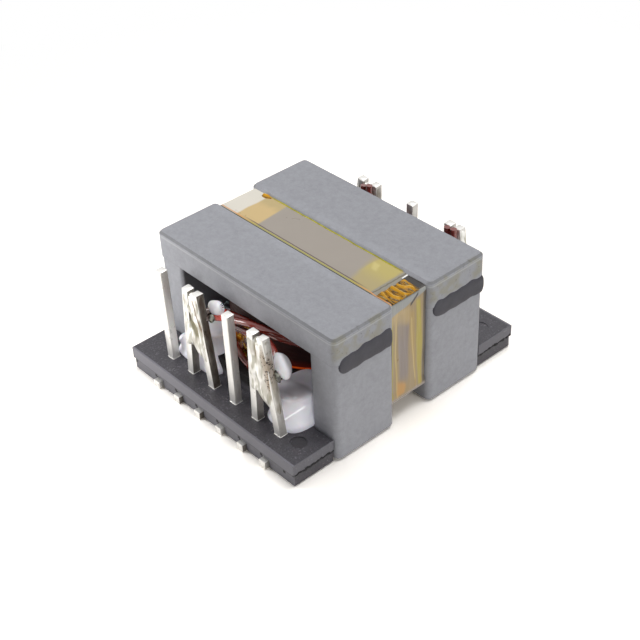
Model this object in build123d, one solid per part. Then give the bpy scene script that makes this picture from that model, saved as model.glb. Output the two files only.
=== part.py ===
from build123d import *
from math import acos, atan2, cos, degrees, hypot, radians, sin
import os

# Surface-mount common mode choke: a two-piece ferrite core round a moulded bobbin that carries
# two windings and two rows of square-wire terminals. Millimetres. +Z is up, X runs along the
# terminal rows, and the origin is the centre of the footprint on the plane of the solder feet.

# Ferrite core
core_length = 19.56
bar_width = 5.75
waist_gap = 3.5
core_height = 10.85
plate_thickness = 2.22
back_thickness = 2.1
leg_width = 2.55
web_length = 10.0
centre_post_radius = 3.3
press_inset = 0.06
corner_radius = 0.5
edge_chamfer = 0.2
leg_inner_radius = 0.3
end_wall_recess = 0.5
end_wall_crown_width = 2.3
end_wall_shoulder = 0.6

# Amber film
tape_recess = 0.28
tape_thickness = 0.12
tape_side_clearance = 0.05
coil_film = 0.1

# Bobbin
fit_clearance = 0.05
post_clearance = 0.1
top_clearance = 0.08
tube_wall = 0.6
flange_clearance = 0.24
flange_thickness = 0.6
base_length = 9.4
ledge_reach = 0.85
rail_end_inset = 0.33
rail_overhang = 3.83
rail_height = 1.98
rail_step = 0.1
rail_step_height = 1.0
end_groove_height = 0.18
end_groove_depth = 0.22
end_groove_margin = 0.25
ejector_radius = 0.65
ejector_depth = 0.06
ejector_inset = 1.6

# Terminals
post_spacing = 2.5
wire_side = 0.68
post_height = 7.95
post_tip = 0.08
post_offset = 2.16
foot_projection = 0.27
foot_stand_off = 0.1
foot_groove_clearance = 0.08
bend_radius = 0.3

# Windings and their ends
coil_height = 3.84
coil_margin = 0.04
lead_radius = 0.25
lead_gap = 0.08
lead_wrap = 25
lead_drop = 1.1
lead_cover = 0.15
lead_crossing = 1.2
lead_step = 1.3
lead_knee_share = 0.3
lead_bend = 0.4

# Solder, silicone and epoxy
solder_skin = 0.14
solder_top_drop = 0.35
silicone_lap = 0.35
silicone_cover = 1.35
silicone_reach = 1.65
silicone_depth = 4.0
silicone_rounding = 0.75
ball_radius = 0.6
ball_bevel = 0.35
ball_seat = 0.45
ball_shifts = {"left": 0.5, "right": 0.6}
bead_proud = 0.12
bead_height = 1.5
bead_start = 0.45
bead_drop = 0.5
bead_rounding = 0.67
bead_end = 0.2

# Terminal places in each row and the sideways bend of each post at its top, in post spacings
front_places = [-2.5, -1.5, -0.5, 0.5, 1.5, 2.5]
front_bends = [-0.08, 0.2, -0.38, 0.0, 0.1, -0.48]
rear_places = [-2.5, -1.5, 0.0, 1.5, 2.5]
rear_bends = [0.41, -0.01, 0.11, 0.22, -0.41]

# Levels and reaches that follow from the sizes above
core_depth = 2 * bar_width + waist_gap
core_bottom = foot_stand_off
core_top = core_bottom + core_height
split_level = core_top - plate_thickness
back_top = core_bottom + back_thickness
window_length = core_length - 2 * press_inset - 2 * leg_width
wall_face = core_length / 2 - end_wall_recess

front_leans = [bend * post_spacing for bend in front_bends]
rear_leans = [bend * post_spacing for bend in rear_bends]

tube_radius = centre_post_radius + post_clearance + tube_wall
bobbin_top = split_level - top_clearance
coil_top = bobbin_top - flange_thickness
coil_bottom = coil_top - coil_height
base_top = coil_bottom - flange_thickness
flange_radius = window_length / 2 - flange_clearance
coil_radius = flange_radius - coil_margin
outer_winding_radius = coil_radius - coil_film
inner_winding_radius = (tube_radius + outer_winding_radius - coil_film) / 2
outer_winding_start = inner_winding_radius + coil_film

rail_length = core_length - 2 * rail_end_inset
rail_inner = core_depth / 2 + fit_clearance
rail_outer = core_depth / 2 + rail_overhang
rail_bottom = foot_stand_off
rail_top = rail_bottom + rail_height
post_line = core_depth / 2 + post_offset
post_top = rail_top + post_height
foot_tip = rail_outer + foot_projection


def span(centre, width):
    """The two ends of a width laid evenly about a centre."""
    return centre - width / 2, centre + width / 2


def block(x, y, z):
    """A box between its low and high limits along each axis."""
    limits = [sorted(pair) for pair in (x, y, z)]
    centre = [(low + high) / 2 for low, high in limits]
    size = [high - low for low, high in limits]
    return Pos(*centre) * Box(*size)


def ring(outer, inner, low, high):
    """A plain round ring about the vertical axis."""
    body = Cylinder(outer, high - low) - Cylinder(inner, high - low)
    return Pos(0, 0, (low + high) / 2) * body


def bar_plan(inset):
    """The two bars of the core seen from above."""
    bar = RectangleRounded(core_length - 2 * inset, bar_width - inset, corner_radius)
    offset_y = (waist_gap + bar_width - inset) / 2
    return Pos(0, offset_y) * bar + Pos(0, -offset_y) * bar


def core_plan(inset):
    """The two bars and the web between their middles."""
    return bar_plan(inset) + Rectangle(web_length, waist_gap + bar_width)


def tape_channel(low, high):
    """The shallow channel that the film lies in, over or under the web."""
    return block(span(0, core_length), span(0, waist_gap), (low, high))


def core_upper():
    """Top half: a plate with the film's channel across its web and broken top edges."""
    plate = Pos(0, 0, split_level) * extrude(core_plan(0), plate_thickness)
    plate -= tape_channel(core_top - tape_recess, core_top)
    return chamfer(plate.edges().group_by(Axis.Z)[-1], edge_chamfer)


def leg_plan():
    """The outer legs, four quarters of the bars with rounded inner edges."""
    legs = Sketch()
    width = bar_width - press_inset
    centre_x = (window_length + leg_width) / 2
    centre_y = (waist_gap + width) / 2
    for x in (-centre_x, centre_x):
        for y in (-centre_y, centre_y):
            legs += Pos(x, y) * RectangleRounded(leg_width, width, leg_inner_radius)
    return legs & bar_plan(press_inset)


def end_walls():
    """The crowned walls that close the gap between the legs at both ends."""
    shoulder = wall_face - end_wall_shoulder
    walls = Sketch()
    for side in (-1, 1):
        inner = side * window_length / 2
        depth = shoulder - window_length / 2
        walls += Pos(inner + side * depth / 2, 0) * Rectangle(depth, waist_gap + bar_width / 2)
        crown = wall_face - window_length / 2
        rounding = min(crown, end_wall_crown_width) * 0.25
        face = RectangleRounded(crown, end_wall_crown_width, rounding)
        walls += Pos(inner + side * crown / 2, 0) * face
    return walls


def core_lower():
    """Bottom half: back plate, legs, end walls and round centre post, pressed in one piece."""
    core = Pos(0, 0, core_bottom) * extrude(core_plan(press_inset), back_thickness)
    core -= tape_channel(core_bottom, core_bottom + tape_recess)
    core = chamfer(core.edges().group_by(Axis.Z)[0], edge_chamfer)
    rise = split_level - back_top
    core += Pos(0, 0, back_top) * extrude(leg_plan() + end_walls(), rise)
    return core + Pos(0, 0, back_top + rise / 2) * Cylinder(centre_post_radius, rise)


def core_tape():
    """A taut film band: over the web, down the end walls, and back under the web."""
    half_web = web_length / 2
    high = core_top - tape_recess
    low = core_bottom + tape_recess
    right = [(half_web, low), (wall_face, back_top), (wall_face, high)]
    left = [(-x, z) for x, z in reversed(right)]
    inside = make_face(Polyline(*right, *left, close=True))
    band = offset(inside, tape_thickness, kind=Kind.INTERSECTION) - inside
    width = waist_gap - 2 * tape_side_clearance
    return extrude(Plane.XZ * band, width / 2, both=True)


def terminal_hole(x, side):
    """What one terminal takes out of its rail: a square hole and an open foot groove."""
    hole = block(span(x, wire_side), span(side * post_line, wire_side), (rail_bottom, rail_top))
    groove_top = wire_side + foot_groove_clearance
    inner = side * (post_line - wire_side / 2)
    outer = side * foot_tip
    width = wire_side + 2 * foot_groove_clearance
    return hole + block(span(x, width), (inner, outer), (rail_bottom, groove_top))


def rail(side, places):
    """One terminal rail, with a mould step, torn gate grooves at its ends and an ejector mark."""
    step_level = rail_bottom + rail_step_height
    depth = (side * rail_inner, side * rail_outer)
    lower_depth = (side * rail_inner, side * (rail_outer - rail_step))
    body = block(span(0, rail_length), depth, (step_level, rail_top))
    lower_length = rail_length - 2 * rail_step
    body += block(span(0, lower_length), lower_depth, (rail_bottom, step_level))
    groove = (rail_inner + end_groove_margin, rail_outer - end_groove_margin)
    groove = (side * groove[0], side * groove[1])
    for end in (-1, 1):
        reach = (end * (rail_length / 2 - end_groove_depth), end * rail_length / 2)
        body -= block(reach, groove, span(step_level, end_groove_height))
    mark_x = rail_length / 2 - ejector_inset
    mark_y = side * (rail_inner + rail_outer) / 2
    mark = Pos(mark_x, mark_y, rail_top - ejector_depth / 2)
    body -= mark * Cylinder(ejector_radius, ejector_depth)
    for place in places:
        body -= terminal_hole(place * post_spacing, side)
    return body


def bobbin():
    """Tube, flanges, base and both terminal rails, moulded as one piece."""
    body = ring(flange_radius, centre_post_radius + post_clearance, base_top, coil_bottom)
    body += ring(flange_radius, centre_post_radius + post_clearance, coil_top, bobbin_top)
    base_reach = 2 * (rail_inner + ledge_reach)
    base = block(span(0, base_length), span(0, base_reach), (back_top, base_top))
    bore = centre_post_radius + post_clearance
    body += base - Pos(0, 0, base_top / 2) * Cylinder(bore, base_top * 2)
    body += ring(tube_radius, bore, back_top, bobbin_top)
    for side, places in ((-1, front_places), (1, rear_places)):
        ledge = (side * rail_inner, side * (rail_inner + ledge_reach))
        body += block(span(0, base_length), ledge, (rail_bottom + rail_step_height, base_top))
        body += rail(side, places)
    return body


def post(x, side, lean):
    """The bare post above the rail, bent sideways by lean at its top, with a blunt tip."""
    y = side * post_line
    tip = wire_side - 2 * post_tip
    foot_of_post = Pos(x, y, rail_top) * Rectangle(wire_side, wire_side)
    shoulder = Pos(x + lean, y, post_top - post_tip) * Rectangle(wire_side, wire_side)
    point = Pos(x + lean, y, post_top) * Rectangle(tip, tip)
    return loft([foot_of_post, shoulder, point], ruled=True)


def terminal(x, side, lean):
    """One square wire: foot under the rail, bend, and post up through the rail."""
    inner = side * (post_line - wire_side / 2)
    wire = block(span(x, wire_side), (inner, side * foot_tip), (0, wire_side))
    wire += block(span(x, wire_side), span(side * post_line, wire_side), (0, rail_top))
    heel = wire.edges().filter_by(Axis.X).sort_by(lambda e: e.center().Z + side * e.center().Y)[0]
    return fillet(heel, bend_radius) + post(x, side, lean)


def winding_inner():
    """The first winding, wound tight on the tube."""
    return ring(inner_winding_radius, tube_radius, coil_bottom, coil_top)


def interwinding_tape():
    """The film between the two windings."""
    return ring(outer_winding_start, inner_winding_radius, coil_bottom, coil_top)


def winding_outer():
    """The second winding, wound over the film."""
    return ring(outer_winding_radius, outer_winding_start, coil_bottom, coil_top)


def coil_tape():
    """The film that closes the coil."""
    return ring(coil_radius, outer_winding_radius, coil_bottom, coil_top)


class Pair:
    """Two neighbouring posts of a row that one winding end is soldered to."""

    def __init__(self, side, places, leans, first):
        self.side = side
        self.left, self.right = places[first] * post_spacing, places[first + 1] * post_spacing
        self.leans = leans[first], leans[first + 1]

    def at(self, level):
        """The middles of both leaning posts at a level above their rail."""
        share = (level - rail_top) / (post_top - post_tip - rail_top)
        return self.left + self.leans[0] * share, self.right + self.leans[1] * share

    def middle(self, level):
        """Halfway between the two posts at a level."""
        return sum(self.at(level)) / 2

    def posts(self):
        """Both bare posts as one tool for cutting."""
        left = post(self.left, self.side, self.leans[0])
        return left + post(self.right, self.side, self.leans[1])


pairs = {
    "front_left": Pair(-1, front_places, front_leans, 1),
    "front_right": Pair(-1, front_places, front_leans, 4),
    "rear_left": Pair(1, rear_places, rear_leans, 0),
    "rear_right": Pair(1, rear_places, rear_leans, 3),
}

# Which way along X each winding end comes from, and how far below the flange it starts
lead_starts = {
    "front_left": (1, lead_cover),
    "front_right": (-1, lead_cover + lead_crossing),
    "rear_left": (1, lead_cover),
    "rear_right": (-1, lead_cover + lead_crossing),
}

# How high the solder starts on the left and right post and at the notch between them, as
# shares of the posts' height over the rail
solder_levels = {
    "front_left": (0.37, 0.25, 0.43),
    "front_right": (0.2, 0.24, 0.29),
    "rear_left": (0.29, 0.32, 0.44),
    "rear_right": (0.32, 0.27, 0.42),
}

# How far each silicone fillet reaches inward from its leg
silicone_widths = {
    "front_left": 4.6,
    "front_right": 3.15,
    "rear_left": 3.15,
    "rear_right": 3.15,
}


def around_coil(side, angle, radius, level):
    """A point at an angle from the middle of one side of the coil."""
    return radius * sin(radians(angle)), side * radius * cos(radians(angle)), level


def lead_end(name):
    """The level at which the upper wire of a winding end meets its posts."""
    return post_top - lead_drop - lead_starts[name][1]


def strand(name, drop):
    """One wire of a winding end: round the coil, off it on a tangent, and in between the posts."""
    pair = pairs[name]
    away, start_drop = lead_starts[name]
    side = pair.side
    reach = coil_radius + lead_radius + lead_gap
    low = coil_top - lead_radius - start_drop - drop
    high = lead_end(name) - drop
    entry = pair.middle(high)
    post_face = post_line - wire_side / 2 - lead_radius - lead_gap
    knee_x, knee_y = entry + away * lead_step, (reach + post_face) / 2
    turn = acos(reach / hypot(knee_x, knee_y))
    leave = degrees(atan2(knee_x, knee_y) + away * turn)
    wrap = [around_coil(side, leave + away * part * lead_wrap, reach, low) for part in (1, 0.5, 0)]
    knee = (knee_x, side * knee_y, low + (high - low) * lead_knee_share)
    approach = (entry, side * (knee_y + post_face) / 2, high)
    end = (entry, side * post_line, high)
    with BuildLine() as path:
        ThreePointArc(*wrap)
        FilletPolyline(wrap[-1], knee, approach, end, radius=lead_bend)
    route = path.wire()
    section = Plane(origin=route @ 0, z_dir=route % 0) * RegularPolygon(lead_radius, 6)
    return sweep(section, path=route)


def lead(name):
    """The two wires of one winding end, one above the other."""
    return strand(name, 0) + strand(name, 2 * lead_radius + lead_gap)


def solder(name):
    """Solder between and round two leaning posts, ending below in an upturned V."""
    pair = pairs[name]
    left_foot, right_foot, apex = [rail_top + share * post_height for share in solder_levels[name]]
    high = post_top - solder_top_drop
    reach = wire_side / 2 + solder_skin
    outline = [(pair.at(left_foot)[0] - reach, left_foot), (pair.at(high)[0] - reach, high)]
    outline += [(pair.at(high)[1] + reach, high), (pair.at(right_foot)[1] + reach, right_foot)]
    outline += [(pair.at(right_foot)[1] - reach, right_foot), (pair.middle(apex), apex)]
    outline += [(pair.at(left_foot)[0] + reach, left_foot)]
    web = extrude(Plane.XZ * make_face(Polyline(*outline, close=True)), reach, both=True)
    web = Pos(0, pair.side * post_line, 0) * fillet(web.edges().filter_by(Axis.Y), solder_skin)
    return web - pair.posts() - lead(name)


def epoxy_bead(end, side, core):
    """A flat bead of epoxy over the split line of one bar end, open at the bar's far edge."""
    face = core_length / 2
    low = side * (waist_gap + bar_width) / 2 - bar_width / 2 + bead_start
    high = low - bead_start + bar_width - bead_end
    plan = RectangleRounded(high - low, bead_height, bead_rounding)
    middle = (end * (face - corner_radius), (low + high) / 2, split_level - bead_drop)
    plane = Plane(origin=middle, x_dir=(0, 1, 0), z_dir=(end, 0, 0))
    return extrude(plane * plan, corner_radius + bead_proud) - core


def silicone_ball(name, post_index, away):
    """A small lump of silicone on the end of a winding, against the back of a post."""
    pair = pairs[name]
    level = lead_end(name)
    x = pair.at(level)[post_index] + away
    y = pair.side * (post_line - wire_side / 2 - ball_seat)
    ball = Box(2 * ball_radius, 2 * ball_radius, 2 * ball_radius)
    ball = Pos(x, y, level) * chamfer(ball.edges(), ball_bevel)
    return ball - pair.posts() - solder(name) - lead(name)


def silicone(name, neighbours):
    """A soft fillet of silicone from the coil and the leg down to the rail."""
    pair = pairs[name]
    end = 1 if pair.left > 0 else -1
    leg_face = window_length / 2
    across = (end * (leg_face + silicone_lap), end * (leg_face - silicone_widths[name]))
    outer = core_depth / 2 + silicone_reach
    depth = (pair.side * outer, pair.side * (outer - silicone_depth))
    mass = block(across, depth, (rail_top, coil_bottom + silicone_cover))
    mass = fillet(mass.edges().filter_by(Axis.Z), silicone_rounding)
    mass = chamfer(mass.edges().group_by(Axis.Z)[-1], silicone_rounding / 2)
    coil = ring(coil_radius, tube_radius, coil_bottom, coil_top)
    return mass - coil - neighbours - pair.posts()


def build():
    """Every piece of the choke by its name."""
    lower, moulding = core_lower(), bobbin()
    upper = core_upper()
    nodes = {"core_upper": upper, "core_lower": lower, "bobbin": moulding}
    nodes["core_tape"] = core_tape()
    nodes["winding_inner"] = winding_inner()
    nodes["interwinding_tape"] = interwinding_tape()
    nodes["winding_outer"] = winding_outer()
    nodes["coil_tape"] = coil_tape()
    for side, row, places, leans in ((-1, "front", front_places, front_leans),
                                     (1, "rear", rear_places, rear_leans)):
        for number, (place, lean) in enumerate(zip(places, leans), start=1):
            nodes[f"terminal_{row}_{number}"] = terminal(place * post_spacing, side, lean)
    for name in pairs:
        nodes[f"lead_{name}"] = lead(name)
        nodes[f"solder_{name}"] = solder(name)
        nodes[f"silicone_{name}"] = silicone(name, lower + moulding)
    nodes["silicone_ball_left"] = silicone_ball("front_left", 1, ball_shifts["left"])
    nodes["silicone_ball_right"] = silicone_ball("front_right", 1, ball_shifts["right"])
    for end, end_name in ((-1, "left"), (1, "right")):
        for side, row in ((-1, "front"), (1, "rear")):
            nodes[f"epoxy_bead_{row}_{end_name}"] = epoxy_bead(end, side, lower + upper)
    return nodes


os.makedirs("parts", exist_ok=True)
for node, solid in build().items():
    export_step(solid, f"parts/{node}.step")
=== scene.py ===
from math import cos, pi, radians, sin

import bmesh
import bpy
import numpy as np
from mathutils import Matrix, Vector


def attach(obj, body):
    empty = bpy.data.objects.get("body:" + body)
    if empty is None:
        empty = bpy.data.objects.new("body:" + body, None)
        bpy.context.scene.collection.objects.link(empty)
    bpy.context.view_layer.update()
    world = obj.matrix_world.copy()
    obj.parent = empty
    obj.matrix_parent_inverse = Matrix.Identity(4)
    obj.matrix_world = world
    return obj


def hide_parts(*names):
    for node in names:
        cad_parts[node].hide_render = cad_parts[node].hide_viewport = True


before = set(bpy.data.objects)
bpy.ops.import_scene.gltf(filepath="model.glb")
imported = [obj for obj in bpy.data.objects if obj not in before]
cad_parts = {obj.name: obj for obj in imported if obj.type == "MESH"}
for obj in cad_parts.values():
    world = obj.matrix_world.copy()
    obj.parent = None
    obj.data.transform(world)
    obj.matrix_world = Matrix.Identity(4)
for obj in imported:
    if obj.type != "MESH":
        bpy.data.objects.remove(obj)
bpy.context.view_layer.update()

# The choke stands on a plain white table under a large soft lamp, with a weaker one to its
# right and a small one near its front left corner. The table shows white and keeps the
# choke's shadow.
mm = 0.001
table_half = 2.0
room_light = 0.18
plain_from, plain_beyond = 30, 70


class Paint:
    """One socket of a node tree, on which Python's arithmetic adds the matching Math nodes."""

    def __init__(self, tree, socket=None):
        self.tree = tree
        self.socket = socket

    def node(self, kind, settings=None, inputs=None, out=0):
        """Any node: its type, its settings, then values or links for its sockets."""
        made = self.tree.nodes.new(kind)
        for name, value in (settings or {}).items():
            setattr(made, name, value)
        for name, value in (inputs or {}).items():
            if isinstance(value, Paint):
                self.tree.links.new(value.socket, made.inputs[name])
            else:
                made.inputs[name].default_value = value
        return Paint(self.tree, made.outputs[out] if made.outputs else None)

    def maths(self, operation, *values):
        return self.node("ShaderNodeMath", {"operation": operation}, dict(enumerate(values)))

    def __add__(self, other):
        return self.maths("ADD", self, other)

    def __sub__(self, other):
        return self.maths("SUBTRACT", self, other)

    def __rsub__(self, other):
        return self.maths("SUBTRACT", other, self)

    def __mul__(self, other):
        return self.maths("MULTIPLY", self, other)

    def __abs__(self):
        return self.maths("ABSOLUTE", self)

    __radd__ = __add__
    __rmul__ = __mul__

    def rise(self, low, high):
        """0 below low and 1 above high, with a soft step between; it falls if low is above high."""
        edges = {"Value": self, "From Min": low, "From Max": high}
        return self.node("ShaderNodeMapRange", {"interpolation_type": "SMOOTHSTEP"}, edges)

    def within(self, middle, half, soft):
        """1 where the value is nearer to the middle than half, and 0 outside."""
        return abs(self - middle).rise(half + soft, half)

    def between(self, first, second):
        """The first colour where this mask is 0 and the second where it is 1."""
        colours = {0: self, 6: first, 7: second}
        return self.node("ShaderNodeMix", {"data_type": "RGBA"}, colours, out=2)

    def times(self, colour):
        """A colour made darker or lighter by this value."""
        settings = {"data_type": "RGBA", "blend_type": "MULTIPLY"}
        return self.node("ShaderNodeMix", settings, {0: 1.0, 6: colour, 7: self}, out=2)

    def place(self):
        """The point of the piece that is being shaded, in millimetres."""
        spot = self.node("ShaderNodeTexCoord", out="Object")
        return self.node("ShaderNodeVectorMath", {"operation": "SCALE"}, {0: spot, "Scale": 1 / mm})

    def axis(self, letter):
        """One coordinate of a point."""
        return self.node("ShaderNodeSeparateXYZ", {}, {0: self}, out=letter)

    def axes(self):
        """All three coordinates of a point."""
        return [self.axis(letter) for letter in "XYZ"]

    def kept(self, title):
        """A value that each point of the piece keeps."""
        return self.node("ShaderNodeAttribute", {"attribute_name": title}, out="Fac")

    def stretched(self, x, y, z):
        """A point with each of its coordinates made longer or shorter."""
        return self.node("ShaderNodeVectorMath", {"operation": "MULTIPLY"}, {0: self, 1: (x, y, z)})

    def noise(self, scale, detail=2.0, roughness=0.5):
        """Soft noise about a point, in cells per millimetre."""
        values = {"Vector": self, "Scale": scale, "Detail": detail, "Roughness": roughness}
        return self.node("ShaderNodeTexNoise", {}, values)

    def bump(self, distance, strength):
        """A normal that follows this value as a height, in millimetres."""
        values = {"Height": self, "Distance": distance * mm, "Strength": strength}
        return self.node("ShaderNodeBump", {}, values)


def rgb(red, green, blue):
    """A colour written as on a screen, from 0 to 255, as the shader wants it."""
    screen = np.array([red, green, blue]) / 255
    light = np.where(screen <= 0.04045, screen / 12.92, ((screen + 0.055) / 1.055) ** 2.4)
    return (*light.tolist(), 1.0)


def surface(name, recipe):
    """A material whose shader takes the values and links that its recipe gives."""
    material = bpy.data.materials.new(name)
    material.use_nodes = True
    material.node_tree.nodes.clear()
    paint = Paint(material.node_tree)
    shader = paint.node("ShaderNodeBsdfPrincipled", {}, recipe(paint))
    paint.node("ShaderNodeOutputMaterial", {}, {"Surface": shader})
    return material


def seen_directly(paint):
    """1 for rays from the camera and for those that metal or film sends on, 0 for all others."""
    rays = [paint.node("ShaderNodeLightPath", out=kind) for kind in
            ("Is Camera Ray", "Is Glossy Ray", "Is Transmission Ray")]
    return rays[0].maths("MAXIMUM", rays[0], rays[1].maths("MAXIMUM", rays[1], rays[2]))


# Seen directly the table is brighter than white, so that only the darkest of the choke's shadow
# shows on it, and far away it is plain white. To all other rays it is a pale board.
table_material = bpy.data.materials.new("white_table")
table_material.use_nodes = True
table_material.node_tree.nodes.clear()
paint = Paint(table_material.node_tree)
board = paint.node("ShaderNodeBsdfDiffuse", {}, {"Color": rgb(240, 237, 232)})
bright_board = paint.node("ShaderNodeBsdfDiffuse", {}, {"Color": (1.45, 1.41, 1.35, 1)})
lift = paint.node("ShaderNodeEmission", {}, {"Color": rgb(28, 21, 10), "Strength": 1.0})
near = paint.node("ShaderNodeAddShader", {}, {0: bright_board, 1: lift})
reach = paint.node("ShaderNodeVectorMath", {"operation": "LENGTH"}, {0: paint.place()}, out="Value")
plain = paint.node("ShaderNodeEmission", {}, {"Color": (1, 1, 1, 1), "Strength": 1.0})
white = paint.node("ShaderNodeMixShader", {}, {0: reach.rise(plain_from, plain_beyond), 1: near,
                                                2: plain})
table_face = paint.node("ShaderNodeMixShader", {}, {0: seen_directly(paint), 1: board, 2: white})
paint.node("ShaderNodeOutputMaterial", {}, {"Surface": table_face})

table_mesh = bpy.data.meshes.new("table")
corners = np.array([(-1, -1, 0), (1, -1, 0), (1, 1, 0), (-1, 1, 0)]) * table_half
table_mesh.from_pydata(corners.tolist(), [], [(0, 1, 2, 3)])
table_mesh.materials.append(table_material)
table = bpy.data.objects.new("table", table_mesh)
bpy.context.scene.collection.objects.link(table)

world = bpy.data.worlds.new("white_room")
bpy.context.scene.world = world
world.use_nodes = True
world.node_tree.nodes.clear()
paint = Paint(world.node_tree)
strength = seen_directly(paint) * (1 - room_light) + room_light
sky = paint.node("ShaderNodeBackground", {}, {"Color": (1, 1, 1, 1), "Strength": strength})
paint.node("ShaderNodeOutputWorld", {}, {"Surface": sky})


def lamp(name, place, target, width, level):
    """A square soft lamp; a plain face at the target that looks at it gets that level of light."""
    data = bpy.data.lights.new(name, "AREA")
    data.size = width * mm
    gap = (Vector(place) - Vector(target)) * mm
    data.energy = level * pi ** 2 * gap.length_squared
    made = bpy.data.objects.new(name, data)
    turn = gap.to_track_quat("Z", "Y").to_matrix().to_4x4()
    made.matrix_world = Matrix.Translation(Vector(place) * mm) @ turn
    made.visible_camera = False
    bpy.context.scene.collection.objects.link(made)


lamp("soft_lamp_above", (15, 40, 190), (0, 0, 10), 130, 0.77)
lamp("soft_lamp_right", (190, 0, 48), (9, 0, 6), 110, 0.32)
lamp("soft_lamp_corner", (-22, -31, 18), (-8, -8, 6), 15, 0.76)

camera_place = (60.232, -51.765, 63.33)
camera_azimuth, camera_elevation, camera_roll = radians(49.4), radians(36.925), radians(-2.829)
film_width, picture_width, pixels_to_focus = 36, 640, 1291.53
to_back = Vector((sin(camera_azimuth) * cos(camera_elevation),
                  -cos(camera_azimuth) * cos(camera_elevation), sin(camera_elevation)))
to_right = Vector((cos(camera_azimuth), sin(camera_azimuth), 0))
to_top = to_back.cross(to_right)
rolled_right = to_right * cos(camera_roll) + to_top * sin(camera_roll)
rolled_top = to_top * cos(camera_roll) - to_right * sin(camera_roll)
camera_data = bpy.data.cameras.new("camera")
camera_data.sensor_width = film_width
camera_data.lens = film_width * pixels_to_focus / picture_width
camera_data.clip_start = 0.001
camera = bpy.data.objects.new("camera", camera_data)
camera.matrix_world = Matrix.LocRotScale(
    Vector(camera_place) * mm, Matrix((rolled_right, rolled_top, to_back)).transposed(), None)
bpy.context.scene.collection.objects.link(camera)
bpy.context.scene.camera = camera
bpy.context.scene.view_settings.view_transform = "Standard"

# The bobbin is one black moulding: a round spool between two flanges on a base with two
# rails. Its top has fine scratches and a round pin mark, and the mould's parting leaves a
# torn seam at both ends and a fine ledge along the rails.
rail_top = 2.08
rail_end = 9.45
rail_outer = 11.33
parting_level = 1.12
pin_mark_place = (7.87, -9.33)
pitch = 2.5
first_notch = -6.69


def black_moulding(paint):
    place = paint.place()
    x, y, z = place.axes()
    grain = place.noise(9.0, 3.0)
    cloud = place.noise(0.45, 2.0)
    scratch = place.stretched(2.2, 0.35, 1.0).noise(5.0, 1.0, 0.4).rise(0.69, 0.72)
    scratches = scratch * place.noise(0.8).rise(0.45, 0.62)
    specks = place.noise(6.0, 3.0, 0.7).rise(0.57, 0.66) * cloud.rise(0.3, 0.6)
    ends = abs(x).rise(rail_end - 0.06, rail_end - 0.03)
    sides = ends.maths("MAXIMUM", ends, abs(y).rise(rail_outer - 0.16, rail_outer - 0.12))
    tear = (place.noise(2.6, 4.0, 0.7) - 0.5) * 0.7
    seam = (z + tear).within(parting_level, 0.12, 0.05)
    seam *= abs(x).rise(rail_end - 0.2, rail_end - 0.05)
    ledge = z.within(parting_level - 0.02, 0.025, 0.03) * sides
    from_notch = x - first_notch
    from_notch = from_notch.maths("PINGPONG", from_notch, pitch / 2)
    notches = from_notch.rise(0.17, 0.1) * z.within(0.8, 0.1, 0.04) * y.rise(-11.1, -11.2)
    across, along = x - pin_mark_place[0], y - pin_mark_place[1]
    from_pin = across * across + along * along + (grain - 0.5) * 0.3
    pin_mark = from_pin.rise(0.42, 0.3) * z.rise(1.7, 1.8)
    spool = z.rise(2.3, 3.0)
    colour = (cloud * 0.5 + grain.rise(0.35, 0.65) * 0.5).between(rgb(58, 56, 61), rgb(80, 78, 83))
    # The rails' outer sides are painted lighter than their top, a painted reflection of the pale
    # room. Their ends are painted a little less light, and the sides darker below the parting line.
    colour = (sides * 0.8).between(colour, rgb(124, 123, 131))
    colour = (ends * 0.75).between(colour, rgb(94, 93, 99))
    below = z.rise(parting_level, parting_level - 0.06)
    colour = (below * sides * 0.35).between(colour, rgb(78, 77, 82))
    colour = (scratches * 0.5 + specks * 0.45).between(colour, rgb(132, 130, 136))
    colour = (ledge * 0.8).between(colour, rgb(52, 51, 54))
    colour = (pin_mark * 0.7).between(colour, rgb(44, 42, 45))
    colour = (seam + notches).between(colour, rgb(16, 15, 16))
    # Everything above the rails, the spool and flanges deep inside the core, is painted near black,
    # a painted shade of the core over it.
    colour = spool.between(colour, rgb(17, 14, 14))
    height = grain * 0.3 - seam * 3.0 - scratches * 0.25
    rough = 0.42 + grain * 0.14 + seam * 0.3 + spool * 0.4
    return {"Base Color": colour, "Roughness": rough, "Normal": height.bump(0.04, 0.6),
            "Specular IOR Level": 0.35}


def dress(material, *names):
    """Gives whole CAD parts their material."""
    for name in names:
        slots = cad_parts[name].data.materials
        slots.clear()
        slots.append(material)


dress(surface("black_moulding", black_moulding), "bobbin")

# The eleven terminals are square tinned wire, pressed through the rails and bent outward
# under them into feet. A thin collar of tin stands round each where it leaves the rail.
wire_side = 0.68
wire_rounding = 0.07
foot_bend = 0.62
straight_from = 1.1
post_line = 9.66
post_top = 10.03
foot_tip = 11.6
front_places = [-2.5, -1.5, -0.5, 0.5, 1.5, 2.5]
front_bends = [-0.08, 0.2, -0.38, 0.0, 0.1, -0.48]
rear_places = [-2.5, -1.5, 0.0, 1.5, 2.5]
rear_bends = [0.41, -0.01, 0.11, 0.22, -0.41]
# How much flux and painted shade darken the right hand face of each post.
front_flux_and_shade = [0.2, 0.9, 1.0, 0.3, 0.85, 0.5]
rear_flux_and_shade = [0.4, 0.5, 0.3, 0.4, 0.2]


def grid_faces(rows, columns, round_rows=False, round_columns=False):
    """The faces of a grid of points stored row by row; a round direction joins its ends."""
    row, column = np.meshgrid(np.arange(rows - (not round_rows)),
                              np.arange(columns - (not round_columns)), indexing="ij")
    next_row, next_column = (row + 1) % rows, (column + 1) % columns
    corners = [row * columns + column, row * columns + next_column,
               next_row * columns + next_column, next_row * columns + column]
    return np.stack(corners, -1).reshape(-1, 4).tolist()


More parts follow.
